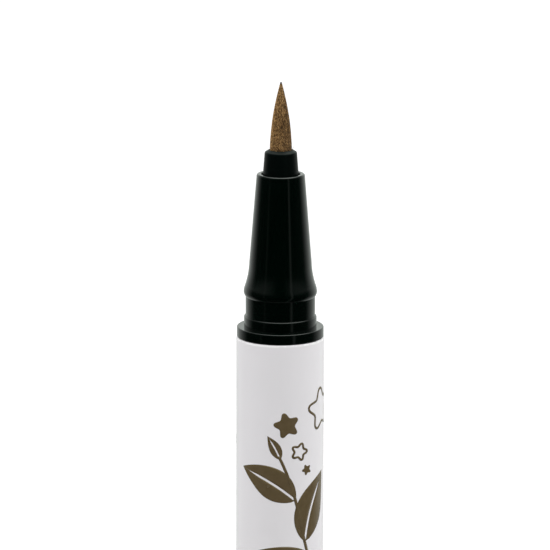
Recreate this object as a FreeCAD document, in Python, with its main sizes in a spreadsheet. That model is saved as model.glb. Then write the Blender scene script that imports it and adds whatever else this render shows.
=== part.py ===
import FreeCAD, Part
import Sketcher
import math
import os
import re

# A liquid eyeliner pen with a brush tip, standing on end with its cap pushed on the tail.
# Lengths are millimetres. Z is the pen's axis, the brush points up and zero is the foot of the cap.

# Driving sizes. Radial ones add up from the brush outwards to the barrel, 10.44 across.
SIZES = {
    # gaps shared by all pieces
    "push_gap": 0.05,
    "slide_gap": 0.1,
    "seat_gap": 0.02,
    "edge_round": 0.15,
    # brush
    "brush_diameter": 2.5,
    "brush_length": 7.89,
    "brush_tip_diameter": 0.16,
    "brush_belly_round": 35.0,
    "brush_root_step": 0.35,
    "brush_root_height": 1.2,
    "brush_socket_depth": 0.8,
    # brush ferrule
    "ferrule_wall": 0.6,
    "ferrule_draft": 0.2,
    "ferrule_bevel_rise": 0.4,
    "ferrule_lead": 0.1,
    "ferrule_stand_out": 2.97,
    "ferrule_foot_height": 3.5,
    "ferrule_socket_depth": 4.0,
    # nose section
    "mouth_gap": 0.2,
    "mouth_depth": 7.0,
    "lip_wall": 0.53,
    "lip_round": 0.2,
    "cone_spread": 0.86,
    "cone_rise": 10.59,
    "flare_spread": 0.535,
    "flare_rise": 2.71,
    "flare_round": 12.9,
    "bead_spread": 0.125,
    "bead_over_rise": 0.8,
    "bead_over_round": 2.74,
    "bead_under_rise": 0.58,
    "bead_under_round": 0.96,
    "seat_depth": 0.2,
    "seat_height": 2.35,
    "band_gap": 0.14,
    "band_height": 1.25,
    "band_round": 0.08,
    "flange_inset": 0.07,
    "flange_thickness": 1.28,
    "flange_round": 0.15,
    "spigot_length": 14.0,
    "spigot_wall": 0.75,
    "spigot_floor": 1.0,
    "spigot_lead": 0.3,
    "web_thickness": 1.5,
    "web_gap": 0.4,
    "cavity_gap": 0.9,
    # relay core, the fibre rod that feeds the brush
    "core_diameter": 1.6,
    "core_taper": 0.25,
    "core_point_height": 0.5,
    "core_reach": 1.5,
    # collector, the finned comb that holds back spare liquid
    "hub_wall": 0.85,
    "fin_thickness": 0.4,
    "fin_pitch": 0.9,
    "collector_head_thickness": 0.8,
    "collector_plug_height": 4.0,
    "snout_length": 5.0,
    "air_slot_width": 0.5,
    "seal_section": 0.8,
    "seal_side_gap": 0.1,
    # barrel, tank and tail
    "barrel_wall": 0.82,
    "barrel_length": 85.0,
    "tank_wall": 0.6,
    "tank_length": 40.0,
    "stopper_height": 4.0,
    "stopper_flange_thickness": 1.0,
    "stopper_wall": 0.8,
    "stopper_floor": 1.0,
    "ball_diameter": 4.5,
    "tail_flange_thickness": 1.0,
    "tail_flange_inset": 0.32,
    "tail_wall": 0.8,
    "tail_floor": 1.2,
    "stub_gap": 0.08,
    "stub_length": 8.0,
    "stub_chamfer": 0.4,
    # cap
    "bead_gap": 0.1,
    "cap_wall": 0.77,
    "mouth_lead": 0.2,
    "snap_bite": 0.07,
    "snap_crest": 0.4,
    "snap_flank": 0.25,
    "stop_ring_thickness": 1.0,
    "stop_bite": 0.4,
    "inner_cap_wall": 0.75,
    "inner_cap_floor": 1.0,
    "inner_cap_rim_step": 0.35,
    "inner_cap_rim_height": 1.5,
    "inner_cap_lead": 0.25,
    "inner_cap_press": 1.6,
    "seal_overlap": 2.0,
    "tip_room": 1.35,
    "boss_diameter": 4.0,
    "boss_height": 1.0,
    "boss_gap": 0.25,
    "spring_wire": 0.45,
    "spring_length": 7.5,
    "plug_head_thickness": 1.2,
    "plug_skirt_height": 3.3,
    "cut_overrun": 1.0,
}
SPRING_TURNS = 5


def plus(*terms):
    """A sum of sizes, as an expression."""
    return "(" + " + ".join(terms) + ")"


def less(whole, *terms):
    """A size with others taken off it, as an expression."""
    return "(" + " - ".join((whole,) + terms) + ")"


def half(size):
    return f"({size} / 2)"


# Radii, from the axis outwards
brush = half("brush_diameter")
root = plus(brush, "brush_root_step")
socket = plus(root, "push_gap")
ferrule_bore = plus(brush, "push_gap")
ferrule_top = plus(ferrule_bore, "ferrule_wall")
ferrule_neck = plus(ferrule_top, "ferrule_draft")
mouth = plus(ferrule_neck, "mouth_gap")
ferrule_foot = less(mouth, "push_gap")
rim = plus(mouth, "lip_wall")
cone_foot = plus(rim, "cone_spread")
shoulder = plus(cone_foot, "flare_spread")
bead = plus(shoulder, "bead_spread")
seat = less(bead, "seat_depth")
snap = less(bead, "snap_bite")
stub = less(snap, "stub_gap")
cap_bore = plus(bead, "bead_gap")
band = less(cap_bore, "band_gap")
outside = plus(cap_bore, "cap_wall")
flange = less(outside, "flange_inset")
tail_flange = less(outside, "tail_flange_inset")
barrel_bore = less(outside, "barrel_wall")
spigot = less(barrel_bore, "push_gap")
spigot_bore = less(spigot, "spigot_wall")
fin = less(spigot_bore, "push_gap")
tank_bore = less(spigot, "tank_wall")
tank_plug = less(tank_bore, "push_gap")
seal_ring = less(tank_bore, "seat_gap", half("seal_section"))
seal_groove = less(seal_ring, half("seal_section"), "seat_gap")
core = half("core_diameter")
hub_bore = plus(core, "push_gap")
slot_floor = plus(hub_bore, half("hub_wall"))
hub = plus(hub_bore, "hub_wall")
web_bore = plus(core, "web_gap")
cavity = plus(hub, "cavity_gap")
stopper_hollow = less(tank_plug, "stopper_wall")
tail_bore = less(stub, "tail_wall")
inner_bore = plus(rim, "cone_spread * seal_overlap / cone_rise")
inner_wall = plus(inner_bore, "inner_cap_wall")
inner_rim = plus(inner_wall, "inner_cap_rim_step")
guide = plus(inner_rim, "slide_gap")
stop_ring = less(inner_rim, "stop_bite")
plug_skirt = less(guide, "push_gap")
boss = half("boss_diameter")

# Lengths along the axis that several pieces share
nose_rise = plus(
    "band_height", "seat_height", "bead_under_rise", "bead_over_rise", "flare_rise", "cone_rise"
)
ferrule_length = plus("mouth_depth", "ferrule_stand_out")
shank_length = less(ferrule_length, "ferrule_socket_depth")
bush_height = less("ferrule_socket_depth", "brush_root_height")
finned_length = less("spigot_length", "spigot_floor")
tail_spigot = less("barrel_length", "spigot_length", "tank_length", "stopper_flange_thickness")
inner_depth = plus("seal_overlap", "ferrule_stand_out", "brush_length", "tip_room")
stop_depth = less(nose_rise, "seal_overlap", "inner_cap_press", "stop_ring_thickness")
snap_depth = plus("band_height", half("seat_height"))

# Heights of the pieces above the foot of the cap
spring_seat = plus("plug_head_thickness", "plug_skirt_height")
inner_cap_back = plus(spring_seat, "spring_length")
stop_face = plus(inner_cap_back, "inner_cap_floor", inner_depth)
cap_mouth = plus(stop_face, "stop_ring_thickness", stop_depth)
barrel_foot = plus(cap_mouth, "tail_flange_thickness")
stopper_foot = plus(barrel_foot, tail_spigot)
tank_foot = plus(stopper_foot, "stopper_flange_thickness")
ball_seat = plus(tank_foot, "stopper_height", "seat_gap")
nose_foot = plus(tank_foot, "tank_length")
collector_foot = less(nose_foot, "collector_plug_height")
core_end = less(collector_foot, "core_reach")
rim_height = plus(nose_foot, "spigot_length", "flange_thickness", nose_rise)
ferrule_seat = less(rim_height, "mouth_depth")
brush_back = plus(ferrule_seat, bush_height)

doc = FreeCAD.newDocument("eyeliner_pen")
sheet = doc.addObject("Spreadsheet::Sheet", "Sizes")
for row, (alias, value) in enumerate(SIZES.items(), start=1):
    sheet.set(f"A{row}", alias)
    sheet.set(f"B{row}", str(value))
    sheet.setAlias(f"B{row}", alias)
doc.recompute()

pieces = []


def bind(target, path, text):
    """Ties a property to the sheet, whose name goes before each size in the expression."""
    target.setExpression(path, re.sub(r"[a-z_]+\b(?!\()", r"Sizes.\g<0>", text))


def keep(piece, label, height):
    """Names a piece, stands it at its height on the axis and lists it for writing."""
    piece.Label = label
    bind(piece, "Placement.Base.z", height)
    pieces.append(piece)
    return piece


def origin_feature(body, role):
    return next(f for f in body.Origin.OriginFeatures if f.Role == role)


def new_sketch(body, name, plane):
    sketch = body.newObject("Sketcher::SketchObject", name)
    sketch.AttachmentSupport = [(origin_feature(body, plane), "")]
    sketch.MapMode = "FlatFace"
    return sketch


def pin_down(sketch, point, kind, axis, text):
    """Holds one coordinate of a point on an axis of the sketch or at a size from it."""
    if text == "0":
        sketch.addConstraint(Sketcher.Constraint("PointOnObject", point, 1, axis))
        return
    index = sketch.addConstraint(Sketcher.Constraint(kind, -1, 1, point, 1, 1.0))
    bind(sketch, f"Constraints[{index}]", text)


def arc_between(start, end, radius, bulge):
    """The arc under a half circle from start to end, bulging out of (1) or into (-1) the piece."""
    chord = end.sub(start)
    left = FreeCAD.Vector(-chord.y, chord.x, 0).normalize()
    reach = math.sqrt(radius**2 - (chord.Length / 2) ** 2)
    centre = start + chord * 0.5 + left * (bulge * reach)
    first, last = (start, end) if bulge > 0 else (end, start)
    angles = [math.atan2(p.y - centre.y, p.x - centre.x) for p in (first, last)]
    return Part.ArcOfCircle(Part.Circle(centre, FreeCAD.Vector(0, 0, 1), radius), *angles)


OUT, IN = 1, -1


def draw_outline(sketch, corners):
    """Closes an outline through corners (across, up), drawn anticlockwise.

    A corner may add the name of a size and OUT or IN: an arc of that radius then leads to the next corner.
    """
    for index, corner in enumerate(corners):
        sketch.addGeometry(Part.Point(FreeCAD.Vector(1, index, 0)), True)
        pin_down(sketch, index, "DistanceX", -2, corner[0])
        pin_down(sketch, index, "DistanceY", -1, corner[1])
    doc.recompute()
    points = [FreeCAD.Vector(g.X, g.Y, 0) for g in sketch.Geometry]
    for index, corner in enumerate(corners):
        following = (index + 1) % len(corners)
        ends = [index, following]
        if len(corner) == 2:
            edge = sketch.addGeometry(Part.LineSegment(points[index], points[following]), False)
        else:
            radius, bulge = corner[2:]
            arc = arc_between(points[index], points[following], sheet.get(radius), bulge)
            edge = sketch.addGeometry(arc, False)
            limit = sketch.addConstraint(Sketcher.Constraint("Radius", edge, sheet.get(radius)))
            bind(sketch, f"Constraints[{limit}]", radius)
            ends = ends[::bulge]
        for side, point in enumerate(ends, start=1):
            sketch.addConstraint(Sketcher.Constraint("Coincident", edge, side, point, 1))


def turn(body, name, corners):
    """Adds a half outline spun once about the pen's axis."""
    sketch = new_sketch(body, name + "_outline", "XZ_Plane")
    draw_outline(sketch, corners)
    turning = body.newObject("PartDesign::Revolution", name + "_turning")
    turning.Profile = sketch
    turning.ReferenceAxis = (sketch, ["V_Axis"])
    turning.Angle = 360
    body.Tip = turning
    return turning


def turned_piece(label, height, corners):
    body = doc.addObject("PartDesign::Body", label + "_body")
    turn(body, label, corners)
    return keep(body, label, height)


def sleeve(inner, outer, length):
    """The outline of a plain tube."""
    return [(inner, "0"), (outer, "0"), (outer, length), (inner, length)]


def make_cap():
    """The cap: a shell closed by an end plug, with a sprung inner cap that seals the nose."""
    shell_length = less(cap_mouth, "plug_head_thickness")
    snap_height = less(shell_length, snap_depth)
    crest_half = half("snap_crest")
    ring_foot = less(stop_face, "plug_head_thickness")
    ring_top = plus(ring_foot, "stop_ring_thickness")
    turned_piece("cap_shell", "plug_head_thickness", [
        (guide, "0"),
        (outside, "0"),
        (outside, less(shell_length, "edge_round"), "edge_round", OUT),
        (less(outside, "edge_round"), shell_length),
        (plus(cap_bore, "mouth_lead"), shell_length),
        (cap_bore, less(shell_length, "mouth_lead")),
        (cap_bore, plus(snap_height, crest_half, "snap_flank")),
        (snap, plus(snap_height, crest_half)),
        (snap, less(snap_height, crest_half)),
        (cap_bore, less(snap_height, crest_half, "snap_flank")),
        (cap_bore, ring_top),
        (stop_ring, ring_top),
        (stop_ring, ring_foot),
        (guide, ring_foot),
    ])
    plug_top = plus(spring_seat, "boss_height")
    turned_piece("cap_end_plug", "0", [
        ("0", "0"),
        (less(flange, "edge_round"), "0", "edge_round", OUT),
        (flange, "edge_round"),
        (flange, "plug_head_thickness"),
        (plug_skirt, "plug_head_thickness"),
        (plug_skirt, spring_seat),
        (boss, spring_seat),
        (boss, plug_top),
        ("0", plug_top),
    ])
    floor = plus("boss_height", "inner_cap_floor")
    inner_top = plus(floor, inner_depth)
    rim_foot = less(inner_top, "inner_cap_rim_height")
    turned_piece("inner_cap", less(inner_cap_back, "boss_height"), [
        ("0", "0"),
        (boss, "0"),
        (boss, "boss_height"),
        (inner_wall, "boss_height"),
        (inner_wall, rim_foot),
        (inner_rim, rim_foot),
        (inner_rim, inner_top),
        (plus(inner_bore, "inner_cap_lead"), inner_top),
        (inner_bore, less(inner_top, "inner_cap_lead")),
        (inner_bore, floor),
        ("0", floor),
    ])


def helix(radius, rise):
    """Place and unit direction on a climbing circle, each a function of the angle."""
    def place(angle):
        return FreeCAD.Vector(radius * math.cos(angle), radius * math.sin(angle), rise * angle)

    def direction(angle):
        along = FreeCAD.Vector(-radius * math.sin(angle), radius * math.cos(angle), rise)
        return along.normalize()

    return place, direction


def arc_from_corner(start, corner, end):
    """The arc that touches both equal legs of a corner at their far ends."""
    middle = (start + end) * 0.5
    half_chord = start.distanceToPoint(middle)
    slope = math.acos(half_chord / start.distanceToPoint(corner))
    crown = middle + (corner - middle).normalize() * (half_chord * math.tan(slope / 2))
    return Part.Arc(start, crown, end).toShape()


def biarc(start, start_way, end, end_way):
    """Two arcs that leave start and reach end in the given directions and meet smoothly."""
    chord = end - start
    ways = start_way + end_way
    square = 2 * start_way.dot(end_way) - 2
    cross = chord.dot(ways)
    leg = (cross - math.sqrt(cross**2 - square * chord.dot(chord))) / square
    first, last = start + start_way * leg, end - end_way * leg
    meeting = (first + last) * 0.5
    return [arc_from_corner(start, first, meeting), arc_from_corner(meeting, last, end)]


def make_spring():
    """The coil spring behind the inner cap, open at both ends."""
    wire = sheet.get("spring_wire")
    radius = sheet.get("boss_diameter") / 2 + sheet.get("boss_gap") + wire / 2
    climb = sheet.get("spring_length") - wire - 2 * sheet.get("seat_gap")
    place, direction = helix(radius, climb / (2 * math.pi * SPRING_TURNS))
    angles = [quarter * math.pi / 2 for quarter in range(4 * SPRING_TURNS + 1)]
    edges = []
    for start, end in zip(angles, angles[1:]):
        edges += biarc(place(start), direction(start), place(end), direction(end))
    path = Part.Wire(edges)
    section = Part.Wire(Part.Circle(place(0), direction(0), wire / 2).toShape())
    spring = doc.addObject("Part::Feature", "inner_cap_spring_coil")
    spring.Shape = path.makePipeShell([section], True, False)
    keep(spring, "inner_cap_spring", plus(spring_seat, "seat_gap", half("spring_wire")))
    steps = 24
    line = [place(2 * math.pi * k / steps) for k in range(steps * SPRING_TURNS + 1)]
    gap = min(a.distanceToPoint(b) for k, a in enumerate(line) for b in line[k + steps // 2:]) - wire
    print(f"inner_cap_spring: least gap to itself {gap:.3f} mm, radius {radius:.3f} mm")


def make_tail():
    """The tail plug, with the stub that the cap is pushed on."""
    flange_top = plus("stub_length", "tail_flange_thickness")
    top = plus(flange_top, tail_spigot)
    turned_piece("tail_plug", less(cap_mouth, "stub_length"), [
        ("0", "0"),
        (less(stub, "stub_chamfer"), "0"),
        (stub, "stub_chamfer"),
        (stub, "stub_length"),
        (tail_flange, "stub_length"),
        (tail_flange, flange_top),
        (spigot, flange_top),
        (spigot, top),
        (tail_bore, top),
        (tail_bore, "tail_floor"),
        ("0", "tail_floor"),
    ])


def make_barrel():
    """The printed outer tube."""
    turned_piece("barrel", barrel_foot, [
        (barrel_bore, "0"),
        (less(outside, "edge_round"), "0", "edge_round", OUT),
        (outside, "edge_round"),
        (outside, less("barrel_length", "edge_round"), "edge_round", OUT),
        (less(outside, "edge_round"), "barrel_length"),
        (barrel_bore, "barrel_length"),
    ])


def make_tank():
    """The ink tank, the stopper in its rear end and the loose ball that stirs the liquid."""
    turned_piece("ink_tank", tank_foot, sleeve(tank_bore, spigot, "tank_length"))
    top = plus("stopper_flange_thickness", "stopper_height")
    ceiling = less(top, "stopper_floor")
    turned_piece("tank_stopper", stopper_foot, [
        (stopper_hollow, "0"),
        (spigot, "0"),
        (spigot, "stopper_flange_thickness"),
        (tank_plug, "stopper_flange_thickness"),
        (tank_plug, top),
        ("0", top),
        ("0", ceiling),
        (stopper_hollow, ceiling),
    ])
    ball = doc.addObject("Part::Sphere", "mixing_ball_sphere")
    bind(ball, "Radius", half("ball_diameter"))
    keep(ball, "mixing_ball", plus(ball_seat, half("ball_diameter")))


def make_collector():
    """The collector: a plug in the tank's mouth, a hub and a stack of fins cut by one air slot."""
    head_top = plus("collector_plug_height", finned_length)
    head_foot = less(head_top, "collector_head_thickness")
    snout_top = plus(head_top, "snout_length")
    groove_half = plus(half("seal_section"), "seal_side_gap")
    groove_foot = less(half("collector_plug_height"), groove_half)
    groove_top = plus(half("collector_plug_height"), groove_half)
    body = doc.addObject("PartDesign::Body", "collector_body")
    turn(body, "collector", [
        (hub_bore, "0"),
        (tank_plug, "0"),
        (tank_plug, groove_foot),
        (seal_groove, groove_foot),
        (seal_groove, groove_top),
        (tank_plug, groove_top),
        (tank_plug, "collector_plug_height"),
        (hub, "collector_plug_height"),
        (hub, head_foot),
        (fin, head_foot),
        (fin, head_top),
        (hub, head_top),
        (hub, snout_top),
        (hub_bore, snout_top),
    ])
    fin_top = plus("collector_plug_height", "fin_pitch")
    fin_foot = less(fin_top, "fin_thickness")
    first_fin = turn(body, "collector_fin", [
        (slot_floor, fin_foot),
        (fin, fin_foot),
        (fin, fin_top),
        (slot_floor, fin_top),
    ])
    doc.recompute()
    count = f"floor(({finned_length} - collector_head_thickness) / fin_pitch)"
    stack = body.newObject("PartDesign::LinearPattern", "collector_fins")
    stack.Originals = [first_fin]
    stack.Direction = (origin_feature(body, "Z_Axis"), [""])
    stack.Mode = "Spacing"
    bind(stack, "Offset", "fin_pitch")
    bind(stack, "Occurrences", count)
    body.Tip = stack
    doc.recompute()
    before = body.Shape.Volume
    slot = new_sketch(body, "air_slot_outline", "XY_Plane")
    bind(slot, "AttachmentOffset.Base.z", "collector_plug_height")
    slot_end = plus(fin, "cut_overrun")
    slot_side = half("air_slot_width")
    draw_outline(slot, [
        (slot_floor, f"-{slot_side}"),
        (slot_end, f"-{slot_side}"),
        (slot_end, slot_side),
        (slot_floor, slot_side),
    ])
    cut = body.newObject("PartDesign::Pocket", "air_slot")
    cut.Profile = slot
    cut.Reversed = True
    bind(cut, "Length", plus(finned_length, "seat_gap"))
    body.Tip = cut
    doc.recompute()
    if body.Shape.Volume >= before:
        raise RuntimeError("the air slot cut nothing")
    keep(body, "collector", collector_foot)
    ring = doc.addObject("Part::Torus", "seal_ring_torus")
    bind(ring, "Radius1", seal_ring)
    bind(ring, "Radius2", half("seal_section"))
    keep(ring, "seal_ring", plus(collector_foot, half("collector_plug_height")))


def make_nose():
    """The black nose: spigot, flange, the band, groove and bead that hold the cap, and the cone."""
    flange_top = plus("spigot_length", "flange_thickness")
    band_top = plus(flange_top, "band_height")
    seat_top = plus(band_top, "seat_height")
    bead_level = plus(seat_top, "bead_under_rise")
    shoulder_level = plus(bead_level, "bead_over_rise")
    foot_level = plus(shoulder_level, "flare_rise")
    top = plus(foot_level, "cone_rise")
    mouth_floor = less(top, "mouth_depth")
    web_foot = less(mouth_floor, "web_thickness")
    turned_piece("nose_section", nose_foot, [
        (spigot_bore, "0"),
        (less(spigot, "spigot_lead"), "0"),
        (spigot, "spigot_lead"),
        (spigot, "spigot_length"),
        (flange, "spigot_length"),
        (flange, less(flange_top, "flange_round"), "flange_round", OUT),
        (less(flange, "flange_round"), flange_top),
        (band, flange_top),
        (band, less(band_top, "band_round"), "band_round", OUT),
        (less(band, "band_round"), band_top),
        (seat, band_top),
        (seat, seat_top, "bead_under_round", OUT),
        (bead, bead_level, "bead_over_round", OUT),
        (shoulder, shoulder_level, "flare_round", IN),
        (cone_foot, foot_level),
        (rim, less(top, "lip_round"), "lip_round", OUT),
        (less(rim, "lip_round"), top),
        (plus(mouth, "lip_round"), top, "lip_round", OUT),
        (mouth, less(top, "lip_round")),
        (mouth, mouth_floor),
        (web_bore, mouth_floor),
        (web_bore, web_foot),
        (cavity, web_foot),
        (cavity, finned_length),
        (spigot_bore, finned_length),
    ])


def make_tip():
    """The ferrule in the nose's mouth, the brush in it and the core that feeds the brush."""
    turned_piece("brush_ferrule", ferrule_seat, [
        (socket, "0"),
        (ferrule_foot, "0"),
        (ferrule_foot, "ferrule_foot_height"),
        (ferrule_neck, "ferrule_foot_height"),
        (ferrule_neck, "mouth_depth"),
        (ferrule_top, less(ferrule_length, "ferrule_bevel_rise")),
        (plus(ferrule_bore, "ferrule_lead"), ferrule_length),
        (ferrule_bore, less(ferrule_length, "ferrule_lead")),
        (ferrule_bore, "ferrule_socket_depth"),
        (socket, "ferrule_socket_depth"),
    ])
    shank_top = plus("brush_root_height", shank_length)
    brush_top = plus(shank_top, "brush_length")
    turned_piece("brush", brush_back, [
        (hub_bore, "0"),
        (root, "0"),
        (root, "brush_root_height"),
        (brush, "brush_root_height"),
        (brush, shank_top, "brush_belly_round", OUT),
        (half("brush_tip_diameter"), brush_top),
        ("0", brush_top),
        ("0", "brush_socket_depth"),
        (hub_bore, "brush_socket_depth"),
    ])
    turned_piece("core_bush", ferrule_seat, sleeve(hub_bore, root, bush_height))
    length = less(plus(brush_back, "brush_socket_depth"), core_end, "seat_gap")
    point = less(core, "core_taper")
    turned_piece("relay_core", core_end, [
        ("0", "0"),
        (point, "0"),
        (core, "core_point_height"),
        (core, less(length, "core_point_height")),
        (point, length),
        ("0", length),
    ])


make_cap()
make_spring()
make_tail()
make_barrel()
make_tank()
make_collector()
make_nose()
make_tip()
doc.recompute()

for item in doc.Objects:
    if "Invalid" in item.State or "Error" in item.State:
        raise RuntimeError(f"{item.Label} failed: {item.State}")
for piece in pieces:
    if piece.Shape.isNull() or not piece.Shape.isValid():
        raise RuntimeError(f"{piece.Label} has no valid shape")

os.makedirs("parts", exist_ok=True)
for piece in pieces:
    piece.Shape.exportStep(f"parts/{piece.Label}.step")
    box = piece.Shape.BoundBox
    print(f"{piece.Label}: {len(piece.Shape.Solids)} solid, z {box.ZMin:.2f} to {box.ZMax:.2f} mm")
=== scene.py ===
import bpy
import numpy as np
from mathutils import Matrix, Vector


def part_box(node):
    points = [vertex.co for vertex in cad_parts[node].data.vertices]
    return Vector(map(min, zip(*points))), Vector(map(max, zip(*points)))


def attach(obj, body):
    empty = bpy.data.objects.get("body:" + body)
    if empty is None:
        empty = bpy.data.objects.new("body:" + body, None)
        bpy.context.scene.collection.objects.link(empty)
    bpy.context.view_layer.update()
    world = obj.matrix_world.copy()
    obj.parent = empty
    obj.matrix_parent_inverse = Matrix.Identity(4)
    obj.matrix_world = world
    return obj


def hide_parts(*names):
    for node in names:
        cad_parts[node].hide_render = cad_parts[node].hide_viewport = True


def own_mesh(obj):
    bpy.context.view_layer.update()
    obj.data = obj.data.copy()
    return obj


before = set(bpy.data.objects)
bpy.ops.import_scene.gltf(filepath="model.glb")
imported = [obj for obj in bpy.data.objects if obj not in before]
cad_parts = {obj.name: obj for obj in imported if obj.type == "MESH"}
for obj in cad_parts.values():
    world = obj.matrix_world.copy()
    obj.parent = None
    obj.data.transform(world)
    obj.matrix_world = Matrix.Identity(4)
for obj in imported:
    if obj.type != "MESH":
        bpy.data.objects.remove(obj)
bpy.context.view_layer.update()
mm = 0.001
tiny, nearest = 1e-9, 1e-6  # what counts as zero, and as the same point
scene = bpy.context.scene
scene.view_settings.view_transform = "Standard"


# Meshes from arrays


def span(node):  # foot, top and outer radius of a CAD node, in mm
    low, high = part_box(node)
    return low.z / mm, high.z / mm, high.x / mm


def arcRun(start, end, radius, bulge, steps=14):
    # Circle through start and end: centre = middle of the chord - out x radius x cos(half sweep),
    # then an even sweep of the angle. Bulge 1 swells to the right of the walk, -1 hollows it.
    start, end = np.array(start, float), np.array(end, float)
    length = np.hypot(*(end - start))
    along = (end - start) / length
    out = np.array([along[1], -along[0]]) * bulge
    halfSweep = np.arcsin(length / 2 / radius)
    sweep = np.linspace(-halfSweep, halfSweep, steps)[:, None]
    centre = (start + end) / 2 - out * radius * np.cos(halfSweep)
    points = centre + radius * (out * np.cos(sweep) + along * np.sin(sweep))
    return np.column_stack([points, np.zeros(steps)])


def roundedOutline(*runs, closed=False, steps=7, guard=0.05):
    # Each corner (across, up, round) turns into an arc that touches both legs:
    # point = start + round x (sin(turn) x way + (1 - cos(turn)) x side),
    # with a guard point before and after it.
    legShare, guardShare = 0.9, 0.04  # of a leg: the most for two rounds, and for a guard
    corners = np.vstack([np.atleast_2d(np.array(run, float)) for run in runs])
    place, rounds = corners[:, :2], corners[:, 2].copy()
    legIn, legOut = place - np.roll(place, 1, axis=0), np.roll(place, -1, axis=0) - place
    lengthIn, lengthOut = np.hypot(*legIn.T), np.hypot(*legOut.T)
    way, wayOut = legIn / lengthIn[:, None], legOut / lengthOut[:, None]
    turn = np.arctan2(way[:, 0] * wayOut[:, 1] - way[:, 1] * wayOut[:, 0], (way * wayOut).sum(1))
    if not closed:
        turn[[0, -1]] = rounds[[0, -1]] = 0
    halfTan = np.tan(abs(turn) / 2)
    reach = rounds * halfTan
    crowd = (reach + np.roll(reach, -1)) / (legShare * lengthOut)
    reach = reach / np.maximum(1, np.maximum(crowd, np.roll(crowd, 1)))  # rounds that share a leg fit it
    rounds = np.where(rounds > 0, reach / np.maximum(halfTan, tiny), 0)
    spare = np.where(rounds > 0, np.minimum(guard, guardShare * np.minimum(lengthIn, lengthOut)), 0)
    side = np.sign(turn)[:, None] * np.column_stack([-way[:, 1], way[:, 0]])
    sweep = np.linspace(0, 1, steps) * abs(turn)[:, None]
    arc = (place - way * reach[:, None])[:, None] + rounds[:, None, None] * (
        np.sin(sweep)[..., None] * way[:, None] + (1 - np.cos(sweep))[..., None] * side[:, None])
    before = (place - way * (reach + spare)[:, None])[:, None]
    after = (place + wayOut * (reach + spare)[:, None])[:, None]
    points = np.concatenate([before, arc, after], axis=1).reshape(-1, 2)
    edge = np.zeros((len(place), steps + 2))
    edge[:, 1:-1] = ((rounds > 0) & (turn > 0))[:, None]  # corners that stand out carry the edge colour: handling wear on most pieces, a painted highlight on the white ones
    apart = np.hypot(*(points - np.roll(points, 1, axis=0)).T) > nearest
    apart[0] |= not closed
    return points[apart], edge.ravel()[apart]


def gridFaces(index):
    # Quads between neighbouring rows and columns of an index grid; one with a repeated corner is a triangle
    corners = [index[:-1, :-1], index[:-1, 1:], index[1:, 1:], index[1:, :-1]]
    quads = np.stack(corners, axis=-1).reshape(-1, 4)
    lower, upper = quads[:, 0] == quads[:, 1], quads[:, 2] == quads[:, 3]
    triangles = quads[lower][:, [0, 2, 3]].tolist() + quads[upper][:, :3].tolist()
    return quads[~(lower | upper)].tolist() + triangles


def latheGrid(outline, turns=160, closed=False):
    # x = radius x cos(turn), y = radius x sin(turn), z = height, on an outline x turn grid;
    # a zero radius is one shared point
    (radius, height), rows = outline.T, len(outline)
    turn = 2 * np.pi * np.arange(turns) / turns
    points = np.stack([radius[:, None] * np.cos(turn), radius[:, None] * np.sin(turn),
                       np.repeat(height[:, None], turns, 1)], axis=-1).reshape(-1, 3)
    index = np.arange(rows * turns).reshape(rows, turns)
    onAxis = radius < tiny
    index[onAxis] = index[onAxis][:, :1]
    index = np.column_stack([index, index[:, 0]])
    if closed:
        index = np.vstack([index, index[:1]])
    return points, index


def addPiece(name, points, faces, material, body, stands=(), edge=None):
    # Drops unused points, makes the mesh in metres and hangs the piece on its body
    used = np.unique(np.concatenate([np.array(face).ravel() for face in faces]))
    number = np.zeros(len(points), int)
    number[used] = np.arange(len(used))
    faces = [[number[k] for k in face] for face in faces]
    mesh = bpy.data.meshes.new(name)
    mesh.from_pydata((points[used] * mm).tolist(), [], faces)
    if edge is not None:
        mesh.attributes.new("edge", "FLOAT", "POINT").data.foreach_set("value", edge[used].astype(np.float32))
    mesh.shade_smooth()
    mesh.materials.append(material)
    piece = bpy.data.objects.new(name, mesh)
    scene.collection.objects.link(piece)
    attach(piece, body)
    if stands:
        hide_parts(*stands)
    return piece


def addTurned(name, runs, material, body, stands, closed=True, turns=160, steps=7):
    # A turned piece: its rounded outline carried once round the axis
    outline, edge = roundedOutline(*runs, closed=closed, steps=steps)
    points, index = latheGrid(outline, turns, closed)
    faces = gridFaces(index)
    addPiece(name, points, faces, material, body, stands, np.repeat(edge, turns))
    print(f"{name}: {len(outline)} rings of {turns}, {len(faces)} faces")


# Shader groups


def addNode(tree, kind, inputs=None, **settings):
    # A node with its settings; an input that is a socket is linked, any other value is set
    made = tree.nodes.new(kind)
    for key, value in settings.items():
        setattr(made, key, value)
    for key, value in (inputs or {}).items():
        if isinstance(value, bpy.types.NodeSocket):
            tree.links.new(value, made.inputs[key])
        else:
            made.inputs[key].default_value = value
    return made


def newGroup(name, inputs, outputs):
    # A group with its sockets, and both ends to link to
    group = bpy.data.node_groups.new(name, "ShaderNodeTree")
    for label, kind, value in inputs:
        group.interface.new_socket(label, in_out="INPUT", socket_type=kind).default_value = value
    for label, kind in outputs:
        group.interface.new_socket(label, in_out="OUTPUT", socket_type=kind)
    return group, addNode(group, "NodeGroupInput").outputs, addNode(group, "NodeGroupOutput").inputs


def useGroup(tree, group, inputs):  # a group's outputs, with its inputs filled in
    return addNode(tree, "ShaderNodeGroup", inputs, node_tree=group).outputs


def calc(tree, operation, first, second=0.0, third=0.0):  # one math node
    return addNode(tree, "ShaderNodeMath", {0: first, 1: second, 2: third}, operation=operation).outputs[0]


def piecePlace(tree):  # the piece's own coordinates
    return addNode(tree, "ShaderNodeTexCoord").outputs["Object"]


def noise(tree, place, scale, detail=2.0, rough=0.5):  # cloudy values from 0 to 1
    inputs = {"Vector": place, "Scale": scale, "Detail": detail, "Roughness": rough}
    return addNode(tree, "ShaderNodeTexNoise", inputs).outputs[0]


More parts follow.
